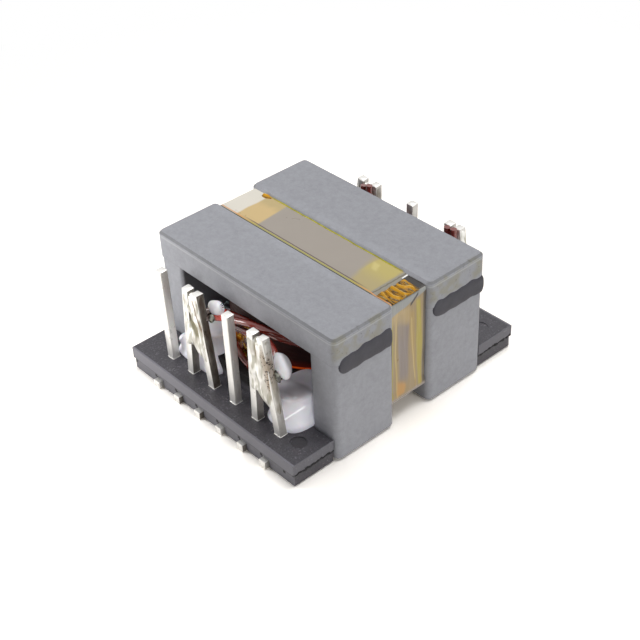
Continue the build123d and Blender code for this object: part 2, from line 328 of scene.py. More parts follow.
def piece(name, points, faces, material, slot, nodes=(), sharp=40):
    """A closed piece from points in millimetres, riding on the choke in place of its CAD nodes."""
    mesh = bpy.data.meshes.new(name)
    mesh.from_pydata((points.reshape(-1, 3) * mm).tolist(), [], faces)
    work = bmesh.new()
    work.from_mesh(mesh)
    bmesh.ops.remove_doubles(work, verts=work.verts, dist=0.0005 * mm)
    bmesh.ops.recalc_face_normals(work, faces=work.faces)
    work.to_mesh(mesh)
    work.free()
    mesh.polygons.foreach_set("use_smooth", np.ones(len(mesh.polygons), bool))
    mesh.set_sharp_from_angle(angle=radians(sharp))
    mesh.materials.append(material)
    made = bpy.data.objects.new(name, mesh)
    bpy.context.scene.collection.objects.link(made)
    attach(made, "root")
    if nodes:
        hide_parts(*nodes)
    return made


def coordinates(made):
    """The places of a piece's points, in millimetres."""
    places = np.zeros(len(made.data.vertices) * 3, np.float32)
    made.data.vertices.foreach_get("co", places)
    return places.reshape(-1, 3) / mm


def keep(made, title, values):
    """Gives each point of a piece a value that its material can read."""
    layer = made.data.attributes.new(title, "FLOAT", "POINT")
    layer.data.foreach_set("value", np.clip(values, 0, 1).astype(np.float32))


def closed_tube(rings):
    """Points and faces of a tube: a grid of rings with a flat face over each end."""
    rows, columns = rings.shape[:2]
    faces = grid_faces(rows, columns, round_columns=True)
    ends = [list(range(columns)), list(range((rows - 1) * columns, rows * columns))]
    return rings, faces + ends


def rounded_square(side, rounding):
    """A square's outline with quarter circles at its corners."""
    turn = np.linspace(0, pi / 2, 4)
    quarter = np.stack([np.cos(turn), np.sin(turn)], -1) * rounding + side / 2 - rounding
    turned = [quarter]
    for _ in range(3):
        turned.append(np.stack([-turned[-1][:, 1], turned[-1][:, 0]], -1))
    return np.concatenate(turned)


def carried(path, outline, facing):
    """An outline carried along a path: its first number goes square to the path and to the
    facing direction, its second along the facing direction."""
    ahead = np.gradient(path, axis=0)
    ahead /= np.linalg.norm(ahead, axis=1, keepdims=True)
    side = np.cross(ahead, facing)
    side /= np.linalg.norm(side, axis=1, keepdims=True)
    over = np.cross(side, ahead)
    return (path[:, None] + outline[..., :1] * side[:, None] + outline[..., 1:] * over[:, None])


def tinned(paint):
    place = paint.place()
    streaks = place.stretched(9.0, 9.0, 0.8).noise(1.0, 3.0, 0.6)
    patches = place.noise(1.1, 3.0, 0.6)
    dirt = place.noise(2.6, 4.0, 0.65).rise(0.57, 0.72)
    flux_and_shade = paint.kept("flank").rise(0.93, 0.97) * paint.kept("flux_and_shade")
    colour = streaks.between(rgb(222, 219, 214), rgb(250, 249, 246))
    colour = (dirt * 0.4).between(colour, rgb(160, 152, 142))
    # The right hand face is darkened by flux and by painted shade, as much as the post keeps.
    colour = (flux_and_shade * (0.75 + patches * 0.3)).between(colour, rgb(84, 74, 62))
    rough = 0.26 + patches * 0.2 + dirt * 0.15
    height = streaks * 0.6 + patches
    return {"Base Color": colour, "Metallic": 0.5, "Roughness": rough,
            "Normal": height.bump(0.05, 0.5)}


tin_material = surface("tinned_wire", tinned)


def up_post(level):
    """How far up its post a level lies: 0 at the rail and 1 at the post's top."""
    return (level - rail_top) / (post_top - rail_top)


def terminal_path(place, side, lean):
    """A wire's middle line: in from the foot's tip, a quarter turn up, then the leaning post."""
    foot = wire_side / 2
    turn = np.linspace(0, pi / 2, 9)[1:]
    out = np.concatenate([np.linspace(foot_tip - post_line, foot_bend, 6),
                          foot_bend - foot_bend * np.sin(turn), np.zeros(26)])
    up = np.concatenate([np.full(6, foot), foot + foot_bend - foot_bend * np.cos(turn),
                         np.linspace(straight_from, post_top, 26)])
    across = place * pitch + lean * pitch * np.clip(up_post(up), 0, 1)
    return np.stack([across, side * (post_line + out), up], -1)


def terminal(row, number, side, place, lean, flux_and_shade):
    """A square wire that narrows a little at both cut ends, with slight dents on its way. Each
    point keeps how far it lies to the right of the middle line, and how much flux and painted
    shade darken that side."""
    path = terminal_path(place, side, lean)
    tip, foot = path[-1].copy(), path[0].copy()
    path = np.concatenate([[foot], [foot - (0, side * 0.05, 0)], path[1:-1],
                           [tip - (0, 0, 0.06)], [tip]])
    width = np.full(len(path), 1.0)
    width[[0, -1]] = 0.74
    seed = int(place * 2 + side * 20 + 50)
    wander = np.random.default_rng(seed).normal(0, 0.008, len(path))
    width *= 1 + np.convolve(wander, np.ones(3) / 3, "same") - 0.01
    outline = rounded_square(wire_side, wire_rounding)[None] * width[:, None, None]
    rings = carried(path, outline, np.array([1.0, 0.0, 0.0]))
    made = piece(f"post_{row}_{number}", *closed_tube(rings), tin_material, "tinned_wire",
                 [f"terminal_{row}_{number}"], sharp=50)
    x, _, z = coordinates(made).T
    middle = np.interp(z, path[:, 2], path[:, 0])
    keep(made, "flank", (x - middle) / (wire_side / 2))
    keep(made, "flux_and_shade", np.full(len(x), flux_and_shade))


for row, side, *places_bends_flux_shades in (("front", -1, front_places, front_bends, front_flux_and_shade),
                                       ("rear", 1, rear_places, rear_bends, rear_flux_and_shade)):
    for number, (place, lean, flux_and_shade) in enumerate(zip(*places_bends_flux_shades), 1):
        terminal(row, number, side, place, lean, flux_and_shade)


def tin_collar(name, side, places):
    """Low square rings of tin on the rail: a thin round carried round each square hole."""
    thickness, steps = 0.03, 10
    around = rounded_square(wire_side + 0.02, 0.08)
    middle = np.concatenate([around, np.zeros((len(around), 1))], -1)
    outward = around / np.linalg.norm(around, axis=1, keepdims=True)
    turn = np.linspace(0, 2 * pi, steps, endpoint=False)[None, :, None]
    up = np.broadcast_to(np.sin(turn) * thickness, (len(around), steps, 1))
    ring = middle[:, None] + np.concatenate(
        [np.cos(turn) * outward[:, None] * thickness, up], -1)
    homes = np.array([(place * pitch, side * post_line, rail_top) for place in places])
    points = homes[:, None, None] + ring[None]
    one = np.array(grid_faces(len(around), steps, True, True))
    faces = np.concatenate([one + index * len(around) * steps for index in range(len(places))])
    piece(name, points, faces.tolist(), tin_material, "tinned_wire")


tin_collar("collars_front", -1, front_places)
tin_collar("collars_rear", 1, rear_places)

# Two windings of enamelled copper lie one over the other round the spool, with a film between
# them. The outer one shows its turns as soft ridges under a taut amber film.
coil_radius = 6.89
coil_top = 8.05
coil_bottom = 4.21
wrap_depth = 0.35
ridge_height = 0.012
ridge_count = 8


def coil_film(paint):
    place = paint.place()
    z = place.axis("Z")
    creases = place.stretched(1.6, 1.6, 0.7).noise(1.6, 3.0, 0.55)
    cloud = place.noise(0.7, 2.0)
    # The film is drawn near black-red: the red of the copper under it, darkened by painted shade.
    # Towards its foot it is painted lighter, its lower edge is a painted orange highlight that also
    # glows, and a dark line runs below that.
    colour = cloud.between(rgb(32, 11, 10), rgb(50, 17, 13))
    colour = z.rise(5.2, 4.4).between(colour, rgb(104, 26, 14))
    edge = (z + (creases - 0.5) * 0.06).within(4.38, 0.04, 0.07)
    colour = edge.between(colour, rgb(206, 84, 14))
    colour = z.rise(4.3, 4.26).between(colour, rgb(62, 22, 20))
    painted_glow = edge.between((0, 0, 0, 1), rgb(190, 62, 8))
    return {"Base Color": colour, "Roughness": 0.5 + creases * 0.15, "Specular IOR Level": 0.15,
            "Emission Color": painted_glow, "Emission Strength": 0.25, "Normal": creases.bump(0.02, 0.3)}


def coil_wrap():
    """A ring round the spool: an outline of its wall, with soft ridges up its outer side,
    turned about the spool's middle line."""
    level = np.linspace(0, 1, 60)
    ridges = ridge_height * np.cos(level * 2 * pi * ridge_count)
    outer = np.stack([coil_radius - 0.014 + ridges,
                      coil_bottom + level * (coil_top - coil_bottom)], -1)
    outer[[0, -1], 0] -= 0.02
    inner = outer[::-1].copy()
    inner[:, 0] = coil_radius - wrap_depth
    wall = np.concatenate([outer, inner])
    turn = np.linspace(0, 2 * pi, 240, endpoint=False)
    slack = 0.006 * np.sin(turn * 5 + 1) - 0.006
    reach = wall[None, :, 0] + slack[:, None]
    return np.stack([reach * np.sin(turn)[:, None], -reach * np.cos(turn)[:, None],
                     np.broadcast_to(wall[None, :, 1], reach.shape)], -1)


coil_points = coil_wrap()
coil_film_material = surface("coil_film", coil_film)
piece("coil_wrap", coil_points, grid_faces(*coil_points.shape[:2], True, True),
      coil_film_material, "coil_film", ["coil_tape"])


def thin_sheet(skin, depth):
    """A closed thin sheet: a grid of points, and the same grid set back by a depth, joined."""
    return closed_tube(np.concatenate([skin, (skin + np.array(depth))[:, ::-1]], 1))


def creased_amber(paint):
    place = paint.place()
    creases = place.stretched(1.2, 1.2, 0.8).noise(2.2, 3.0, 0.6)
    cloud = place.noise(1.3, 2.0)
    colour = cloud.rise(0.35, 0.65).between(rgb(120, 46, 8), rgb(222, 138, 14))
    colour = creases.rise(0.46, 0.34).between(colour, rgb(74, 26, 10))
    colour = creases.within(0.56, 0.012, 0.02).between(colour, rgb(246, 214, 96))
    return {"Base Color": colour, "Roughness": 0.14 + cloud * 0.1, "Coat Weight": 0.7,
            "Normal": creases.bump(0.2, 0.8)}


def loose_film():
    """The slack end of the coil's film: it follows the coil, stands off it in a few waves, and
    hangs a little below it."""
    left, right, top, bottom = -2.6, 0.5, 6.6, 3.5
    x = np.linspace(left, right, 70)[None]
    z = np.linspace(top, bottom, 60)[:, None]
    off = 0.16 + 0.07 * np.sin(x * 3.1 + z * 1.7) + 0.05 * np.sin(x * 5.3 - z * 2.9)
    y = -np.sqrt(coil_radius ** 2 - x ** 2) - off - 0.04 * (top - z)
    return np.stack(np.broadcast_arrays(x, y, z), -1)


piece("loose_film", *thin_sheet(loose_film(), (0, 0.04, 0)),
      surface("creased_amber", creased_amber), "coil_film", sharp=80)


def enamel(paint):
    place = paint.place()
    cloud = place.noise(0.9, 2.0)
    fine = place.noise(5.0, 2.0)
    hot_spot = paint.node("ShaderNodeVectorMath", {"operation": "DISTANCE"},
                          {0: place, 1: (-1.15, -8.6, 8.1)}, out="Value")
    colour = cloud.between(rgb(96, 22, 17), rgb(142, 48, 34))
    colour = hot_spot.rise(0.7, 0.35).between(colour, rgb(226, 58, 26))
    colour = (place.axis("Y").rise(-8.95, -9.15) * 0.9).between(colour, rgb(58, 44, 34))
    return {"Base Color": colour, "Roughness": 0.14 + fine * 0.1, "Coat Weight": 0.8,
            "Normal": fine.bump(0.02, 0.4)}


enamel_material = surface("red_enamel", enamel)
dress(enamel_material, "winding_inner", "winding_outer")
dress(coil_film_material, "interwinding_tape")


# Each winding end is two enamelled wires that leave the coil together and go in between a pair
# of posts, where they are soldered. At the front left they turn loosely round each other.
wire_radius = 0.26


def smooth_line(stops, count):
    """A smooth line through a few stops: each span is a cubic that keeps the slopes between
    the neighbours of its two ends."""
    stops = np.array(stops, float)
    padded = np.concatenate([[2 * stops[0] - stops[1]], stops, [2 * stops[-1] - stops[-2]]])
    along = np.linspace(0, len(stops) - 1, count)
    span = np.minimum(along.astype(int), len(stops) - 2)
    part = (along - span)[:, None]
    before, start, end, after = (padded[span + step] for step in range(4))
    return 0.5 * (2 * start + (end - before) * part
                  + (2 * before - 5 * start + 4 * end - after) * part ** 2
                  + (3 * start - before - 3 * end + after) * part ** 3)


def round_outline(radius):
    """A circle's outline."""
    turn = np.linspace(0, 2 * pi, 14, endpoint=False)
    return np.stack([np.cos(turn), np.sin(turn)], -1) * radius


def joined(parts):
    """Several meshes as one: their points in a row, and their faces' numbers moved to match."""
    points, faces, offset = [], [], 0
    for part, part_faces in parts:
        points.append(part.reshape(-1, 3))
        faces += [[corner + offset for corner in face] for face in part_faces]
        offset += len(points[-1])
    return np.concatenate(points), faces


def twisted(stops, radius, wires=1, spread=0.0, turns=0.0, start=0.0, count=120):
    """Round wires wound about one smooth line, each a fixed way off it that turns on the way."""
    line = smooth_line(stops, count)
    ahead = np.gradient(line, axis=0)
    ahead /= np.linalg.norm(ahead, axis=1, keepdims=True)
    side = np.cross(ahead, (0, 0, 1.0))
    side /= np.linalg.norm(side, axis=1, keepdims=True)
    over = np.cross(side, ahead)
    turn = np.linspace(0, turns * 2 * pi, count)
    strands = []
    for wire in range(wires):
        angle = (start + turn + wire * 2 * pi / wires)[:, None]
        path = line + spread * (np.cos(angle) * side + np.sin(angle) * over)
        strands.append(closed_tube(carried(path, round_outline(radius)[None], (0, 0, 1.0))))
    return joined(strands)


# The stops of each single wire or twisted pair, from the coil to between the posts. A twist is
# how many wires, how far off the line they lie, how often they turn, and their first angle.
lead_twists = {"front_left": (2, 0.25, 0.55, 0.9)}
lead_routes = {
    "front_left": [[(6.3, -3.9, 6.9), (5.2, -5.3, 7.2), (3.4, -6.8, 7.65), (2.06, -7.35, 7.9),
                    (0.97, -7.62, 7.96), (-0.38, -7.85, 7.8), (-1.0, -8.25, 7.95),
                    (-1.4, -8.75, 8.15), (-1.95, -9.45, 8.1)]],
    "front_right": [[(-3.6, -6.5, 5.7), (-1.3, -7.25, 6.25), (-0.18, -7.45, 6.6),
                     (1.62, -7.75, 7.2), (3.15, -8.05, 7.95), (4.28, -8.4, 8.15),
                     (5.1, -8.8, 8.05), (5.2, -9.5, 7.7)],
                    [(-3.2, -6.7, 5.2), (-1.38, -7.3, 4.55), (-0.29, -7.5, 3.9),
                     (1.2, -7.8, 4.0), (3.0, -8.4, 5.2), (4.4, -8.9, 6.4), (5.0, -9.5, 6.9)]],
    "rear_left": [[(5.6, 4.7, 7.1), (4.2, 6.1, 7.15), (2.0, 7.25, 7.2), (0.0, 7.6, 7.3),
                   (-2.4, 8.0, 7.5), (-3.9, 8.5, 8.1), (-4.5, 8.85, 9.0), (-4.5, 9.0, 9.9)],
                  [(5.6, 4.7, 6.5), (4.2, 6.1, 6.55), (2.0, 7.25, 6.6), (0.0, 7.6, 6.8),
                   (-2.4, 8.0, 7.0), (-3.5, 8.6, 8.0), (-3.85, 8.9, 9.0), (-3.85, 9.0, 10.15)]],
    "rear_right": [[(-4.0, 6.25, 6.0), (-1.74, 7.2, 6.2), (0.6, 7.7, 6.6), (2.6, 8.2, 7.2),
                    (4.1, 8.7, 8.0), (4.55, 8.95, 9.0), (4.6, 9.0, 10.05)],
                   [(-4.0, 6.25, 5.4), (-1.74, 7.2, 5.6), (0.6, 7.7, 6.0), (3.0, 8.2, 6.8),
                    (4.9, 8.7, 7.8), (5.25, 8.95, 9.0), (5.25, 9.0, 10.15)]],
}
for name, routes in lead_routes.items():
    twist = lead_twists.get(name, ())
    piece(f"wires_{name}", *joined(twisted(stops, wire_radius, *twist) for stops in routes),
          enamel_material, "enamelled_copper", [f"lead_{name}"])


# Each winding end is soldered between two posts. The solder has run down both posts and hangs
# between them as a rippled web with an upturned V below; flux and pits stain it.
solder_skin = 0.03


def solder_face(paint):
    place = paint.place()
    hollow, stain, flank = (paint.kept(title) for title in ("hollow", "stain", "flank"))
    ripple = place.stretched(1.0, 1.0, 0.5).noise(1.2, 2.0, 0.5)
    streak = place.stretched(3.2, 3.2, 0.8).noise(1.0, 2.0)
    fine = place.noise(6.0, 2.0)
    pits = place.noise(3.6, 2.0, 0.7).rise(0.57, 0.61) * stain.rise(0.15, 0.45)
    colour = ripple.rise(0.35, 0.6).between(rgb(196, 192, 182), rgb(250, 249, 245))
    colour = (streak.rise(0.48, 0.62) * 0.7).between(colour, rgb(150, 146, 126))
    colour = (hollow.rise(0.1, 0.6) * 0.9).between(colour, rgb(148, 140, 112))
    colour = (stain.rise(0.1, 0.5) * (0.5 + streak * 0.6)).between(colour, rgb(162, 144, 124))
    colour = (stain.rise(0.72, 0.95) * 0.9).between(colour, rgb(92, 62, 46))
    # The right flank is darkened by flux and by painted shade, as far as the web keeps it.
    colour = (flank * (0.8 + streak * 0.2)).between(colour, rgb(84, 74, 64))
    colour = pits.between(colour, rgb(44, 32, 26))
    rough = 0.22 + ripple * 0.18 + stain * 0.2
    height = ripple + fine * 0.12 - pits * 0.5
    return {"Base Color": colour, "Metallic": 0.4, "Roughness": rough,
            "Normal": height.bump(0.1, 0.6)}


solder_material = surface("solder", solder_face)


def spots(x, z, marks):
    """Soft spots added up: each is its weight in its middle and falls away as a bell on both
    axes, and its middle may move across as it goes up."""
    total = np.zeros(np.broadcast(x, z).shape)
    for weight, middle_x, middle_z, wide, high, lean in marks:
        across = (x - middle_x) - lean * (z - middle_z)
        total += weight * np.exp(-(across / wide) ** 2 - ((z - middle_z) / high) ** 2)
    return total


def squared(wave, power):
    """A sine or cosine pushed outward, so that a circle becomes a rounder or sharper square."""
    return np.sign(wave) * np.abs(wave) ** power


def solder_web(name, side, posts, levels, dents, stains, flux_and_shade_share, seed):
    """A curtain of solder hung on two leaning posts, its right flank darkened by flux and by
    painted shade. Across, an angle runs round a squarish section with three low ribs. Down, its
    lower rim rises from the left post to a notch and slopes to the right one, and its upper rim has
    a dip between the tips. Slow waves run over both faces, and dents are pressed into the front
    one."""
    (left, left_lean), (right, right_lean) = posts
    left_foot, right_foot, apex, high, dip = levels
    turn = np.linspace(0, 2 * pi, 110, endpoint=False)
    across, depth = squared(np.cos(turn), 0.55), squared(np.sin(turn), 0.4)
    down = np.linspace(0, 1, 100)[:, None]
    ease = (across + 1) / 2
    rim_low = np.interp(ease, (0, 0.21, 0.33, 0.73, 1),
                        (left_foot, left_foot + 0.1, apex, right_foot + 0.1, right_foot))
    rim_high = high + 0.15 * ease - dip * np.exp(-((across - 0.05) / 0.25) ** 2)
    z = rim_low + (rim_high - rim_low) * down
    x_left = left + left_lean * up_post(z) - wire_side / 2 - solder_skin
    x_right = right + right_lean * up_post(z) + wire_side / 2 + solder_skin
    x = x_left + (x_right - x_left) * ease
    closing = (1 - np.abs(2 * down - 1) ** 14) ** 0.6
    ribs = sum(np.exp(-((across - middle) / 0.2) ** 2) for middle in (-0.75, 0.05, 0.8))
    y = depth * closing * (0.36 + 0.08 * ribs)
    wild = np.random.default_rng(seed)
    for _ in range(9):
        x_rate, z_rate = wild.normal(0, 1, 2) * (2.4, 1.6)
        wave = np.sin(x * x_rate + z * z_rate + wild.uniform(0, 6))
        y += 0.012 * wave * closing * np.abs(depth)
    front = (depth * side > 0) * np.abs(depth)
    y -= side * 0.26 * spots(x, z, dents) * front * closing
    points = np.stack([x, side * post_line + y, z], -1)
    made = piece(name, points, grid_faces(*points.shape[:2], round_columns=True),
                 solder_material, "solder", [name.replace("web", "solder")], sharp=70)
    x, _, z = coordinates(made).T
    keep(made, "hollow", spots(x, z, dents))
    keep(made, "stain", spots(x, z, stains))
    past_right = x - right - right_lean * up_post(z) - wire_side / 2
    keep(made, "flank", (past_right + 0.03) / 0.04 * flux_and_shade_share)


def post_pair(places, bends, first):
    """Where two neighbouring posts leave the rail and how far they lean."""
    return [(places[index] * pitch, bends[index] * pitch) for index in (first, first + 1)]


solder_web("web_front_left", -1, post_pair(front_places, front_bends, 1),
           (4.6, 3.95, 5.05, 9.75, 0.35),
           [(1.5, -2.65, 7.1, 0.34, 0.8, -0.5), (0.7, -2.95, 8.9, 0.1, 0.7, -0.2)],
           [(1.3, -2.0, 8.3, 0.09, 1.5, -0.36), (0.6, -3.9, 5.0, 0.3, 0.5, 0.0)], 1.0, 3)
solder_web("web_front_right", -1, post_pair(front_places, front_bends, 4),
           (4.7, 3.9, 4.95, 9.75, 0.4),
           [(0.8, 4.5, 8.9, 0.12, 0.9, 0.0), (0.4, 4.4, 6.0, 0.3, 0.5, 0.0)],
           [(0.7, 5.55, 7.6, 0.34, 1.9, -0.14), (0.35, 4.6, 8.6, 0.3, 0.8, 0.0)], 0.35, 8)
solder_web("web_rear_left", 1, post_pair(rear_places, rear_bends, 0),
           (4.4, 4.6, 5.4, 9.7, 0.6), [(0.8, -4.7, 7.4, 0.3, 0.7, 0.0)],
           [(0.9, -4.5, 8.8, 0.4, 0.8, 0.0)], 0.5, 5)
solder_web("web_rear_right", 1, post_pair(rear_places, rear_bends, 3),
           (4.6, 4.2, 5.2, 9.7, 0.6), [(0.8, 4.9, 7.2, 0.3, 0.7, 0.0)],
           [(0.9, 5.0, 8.7, 0.4, 0.8, 0.0)], 0.0, 6)


# Soft white silicone holds the coil: a thick fillet from the coil and a leg of the core down
# to the rail beside each pair of posts, and a small ball on each front winding end.
def silicone_face(paint):
    place = paint.place()
    cloud = place.noise(0.6, 2.0)
    tint = place.noise(0.9, 1.0).rise(0.45, 0.7)
    colour = cloud.between(rgb(240, 239, 245), rgb(250, 249, 253))
    colour = (tint * 0.2).between(colour, rgb(228, 218, 236))
    x, y, z = place.axes()
    # A thin painted highlight runs across the front right mass. All the silicone glows a little, a
    # painted glow of light through it, brighter low down than on the balls.
    streak = (z - x * 1.156 + 4.12).within(0.0, 0.04, 0.05) * x.within(6.65, 0.45, 0.1)
    streak *= y.rise(-7.9, -8.1)
    shade = z.rise(4.6, 5.2) * x.rise(4.0, 4.4) * y.rise(-7.0, -7.4)
    colour = (shade * y.rise(-9.2, -8.6) * 0.8).between(colour, rgb(116, 110, 108))
    painted_inner_glow = z.rise(4.8, 3.8).between(rgb(44, 44, 50), rgb(96, 96, 102))
    painted_glow = streak.between(painted_inner_glow, rgb(190, 190, 190))
    return {"Base Color": colour, "Roughness": 0.2 + cloud * 0.1, "Subsurface Weight": 0.15,
            "Subsurface Scale": 0.0006, "Emission Color": painted_glow, "Emission Strength": 1.0,
            "Normal": cloud.bump(0.1, 0.4)}


silicone_material = surface("white_silicone", silicone_face)


def eased(share):
    """A share from 0 to 1 with a slow start and end: three squares less two cubes."""
    return 3 * share ** 2 - 2 * share ** 3


def soft_mass(name, middle, half, crown, dip, seed):
    """A squarish mound: its plan is a superellipse that flares at the foot. Its top goes from
    one level at a first place across to another at a second, dips towards the coil, and
    rounds over."""
    turn = np.linspace(0, 2 * pi, 140, endpoint=False)[None]
    rise = np.linspace(0, 1, 80)[:, None]
    plan_x, plan_y = squared(np.cos(turn), 0.5), squared(np.sin(turn), 0.6)
    wall, shoulder = 0.66, 0.86
    arc = np.clip((rise - wall) / (1 - wall), 0, 1) * pi / 2
    width = np.where(rise < wall, 1, np.cos(arc) ** 0.55)
    level = np.where(rise < wall, rise / wall * shoulder,
                     shoulder + (1 - shoulder) * np.sin(arc))
    wild = np.random.default_rng(seed)
    wave = sum(0.014 * np.sin(turn * k + level * m + p)
               for k, m, p in zip((1, 2, 3, 2), wild.normal(3, 2, 4), wild.uniform(0, 6, 4)))
    width = width * (0.97 + wave + 0.09 * np.exp(-((level - 0.1) / 0.14) ** 2)
                     - 0.05 * np.exp(-((level - 0.55) / 0.25) ** 2))
    x = middle[0] + half[0] * plan_x * width
    (first, first_top), (second, second_top) = crown
    share = np.clip((x - first) / (second - first), 0, 1)
    top = first_top + (second_top - first_top) * eased(share)
    y = middle[1] + half[1] * plan_y * width
    top = top - dip * eased(np.clip((8.9 - np.abs(y)) / 1.6, 0, 1))
    foot = rail_top - 0.02
    points = np.stack([x, y, foot + (top - foot) * level], -1)
    piece(name, *closed_tube(points), silicone_material, "silicone",
          [name.replace("mass", "silicone")], sharp=80)


soft_mass("mass_front_left", (-4.5, -7.2), (2.55, 2.0), ((-6.6, 3.3), (-4.1, 5.9)), 0.2, 1)
soft_mass("mass_front_right", (5.62, -7.2), (1.62, 2.05), ((4.5, 4.9), (7.0, 5.3)), 0.1, 2)
soft_mass("mass_rear_left", (-5.6, 7.2), (1.65, 1.95), ((-7.0, 5.4), (-4.5, 5.6)), 0.0, 3)
soft_mass("mass_rear_right", (5.6, 7.2), (1.65, 1.95), ((4.5, 5.6), (7.0, 5.4)), 0.0, 4)


def soft_ball(name, middle, half, lean, material, nodes, seed):
    """A small lump: a ball with its own half width each way, a lean and a few slow waves."""
    turn = np.linspace(0, 2 * pi, 60, endpoint=False)[None]
    tilt = np.linspace(0, pi, 34)[:, None]
    wild = np.random.default_rng(seed)
    swell = 1 + sum(0.04 * np.sin(turn * k + tilt * m + p) * np.sin(tilt)
                    for k, m, p in zip((1, 2, 3), wild.normal(2, 1, 3), wild.uniform(0, 6, 3)))
    points = np.stack([middle[0] + half[0] * np.cos(turn) * np.sin(tilt) * swell
                       + lean * half[2] * np.cos(tilt),
                       middle[1] + half[1] * np.sin(turn) * np.sin(tilt) * swell,
                       middle[2] + half[2] * np.cos(tilt) * swell], -1)
    piece(name, points, grid_faces(*points.shape[:2], round_columns=True), material,
          "silicone", nodes, sharp=80)


def flux_face(paint):
    place = paint.place()
    cloud = place.noise(3.0, 3.0)
    colour = cloud.rise(0.4, 0.6).between(rgb(52, 50, 44), rgb(150, 152, 138))
    return {"Base Color": colour, "Roughness": 0.15 + cloud * 0.2, "Coat Weight": 0.5,
            "Normal": cloud.bump(0.1, 0.6)}


flux_material = surface("dried_flux", flux_face)
soft_ball("lump_left", (-1.5, -8.6, 8.56), (0.68, 0.52, 0.55), 0.0, silicone_material,
          ["silicone_ball_left"], 5)
soft_ball("lump_right", (5.98, -8.85, 7.6), (0.66, 0.55, 0.95), -0.28, silicone_material,
          ["silicone_ball_right"], 6)
soft_ball("flux_left", (-1.42, -9.2, 7.95), (0.3, 0.2, 0.42), 0.3, flux_material, [], 7)
soft_ball("flux_right", (5.98, -9.36, 6.95), (0.3, 0.18, 0.5), -0.2, flux_material, [], 8)


fibre_radius = 0.028


def fibres():
    """Three short stray fibres that stick out of the left lump and curl."""
    routes = [[(-1.05, -8.5, 9.0), (-0.85, -8.5, 9.3), (-1.0, -8.55, 9.5)],
              [(-0.95, -8.5, 8.95), (-0.6, -8.5, 9.3), (-0.3, -8.45, 9.65), (-0.1, -8.5, 9.6)],
              [(-0.9, -8.5, 8.85), (-0.5, -8.5, 9.1), (-0.15, -8.55, 9.2)]]
    return joined(twisted(stops, fibre_radius, count=24) for stops in routes)


def fibre_face(paint):
    cloud = paint.place().noise(4.0, 2.0)
    colour = cloud.between(rgb(14, 26, 28), rgb(52, 74, 76))
    return {"Base Color": colour, "Roughness": 0.4 + cloud * 0.2}


piece("stray_fibres", *fibres(), surface("stray_fibre", fibre_face), "silicone", sharp=80)

# The core is two pieces of pressed ferrite: a plate above and an open body below, joined at a
# fine line round the sides. It is matt grey with a faint speckle, and just under its top edges it
# carries a painted shade line with a painted highlight line below it.
core_top = 10.95
split_level = 8.73


def ferrite(paint):
    place = paint.place()
    x, y, z = place.axes()
    speckle = place.noise(9.0, 3.0, 0.7)
    blotch = place.noise(2.6, 2.0, 0.6)
    cloud = place.noise(0.5, 3.0, 0.55)
    wobble = place.noise(1.3, 2.0) - 0.5
    ends = abs(x).rise(9.2, 9.5)
    outer = ends.maths("MAXIMUM", ends, abs(y).rise(2.3, 2.9))
    tone = 0.6 + speckle * 0.32 + blotch * 0.3 + cloud * 0.16
    painted_edge_shade = z.within(core_top - 0.09, 0.06, 0.04) * outer
    painted_edge_highlight = (z + wobble * 0.03).within(core_top - 0.36, 0.03, 0.05) * outer
    split = z.within(split_level, 0.012, 0.03)
    smear = (cloud + wobble * 0.8).rise(0.4, 0.62) * x.rise(9.4, 9.65) * z.rise(8.9, 9.5)
    scuff = place.stretched(0.5, 3.0, 3.0).noise(1.4, 3.0).rise(0.6, 0.72) * x.rise(9.4, 9.6)
    colour = tone.times(rgb(161, 162, 168))
    colour = (smear * 0.7).between(colour, rgb(150, 147, 130))
    colour = (scuff * z.rise(8.4, 9.2) * 0.4).between(colour, rgb(92, 88, 82))
    # Just under the top edges of the outer faces: a painted shade line, and a painted highlight
    # line below it.
    colour = (painted_edge_shade * (0.3 + cloud * 0.4)).between(colour, rgb(84, 84, 80))
    colour = (painted_edge_highlight * 0.5).between(colour, rgb(196, 198, 198))
    colour = (split * 0.35).between(colour, rgb(90, 92, 94))
    # The inner faces of the core's openings are painted near black, a painted shade under the
    # plate.
    painted_window_shade = abs(x).rise(7.22, 7.15) * abs(y).rise(7.5, 7.3) * z.rise(8.8, 8.7) * z.rise(1.9, 2.3)
    colour = (painted_window_shade * 0.85).between(colour, rgb(34, 30, 30))
    height = speckle * 0.5 + cloud - split * 0.4
    return {"Base Color": colour, "Roughness": 0.6 + speckle * 0.15, "Specular IOR Level": 0.3,
            "Normal": height.bump(0.035, 0.6)}


dress(surface("pressed_ferrite", ferrite), "core_upper", "core_lower")


# A band of clear amber film goes once round the core's narrow waist and pulls its halves
# together. It lies in folds at the right hand edge, and its layers show as steps of colour.
# On it are painted highlights (the glints), a painted sheen at the far left and painted shade
# beside the rear block.
band_half = 1.735
band_top = 10.76
band_end = 9.38
fold_rise = 0.18


def layered(colour, zone, layers):
    """Colours laid one over another inside a zone, each as far as its mask says."""
    for mask, tint in layers:
        colour = (zone * mask).between(colour, rgb(*tint))
    return colour


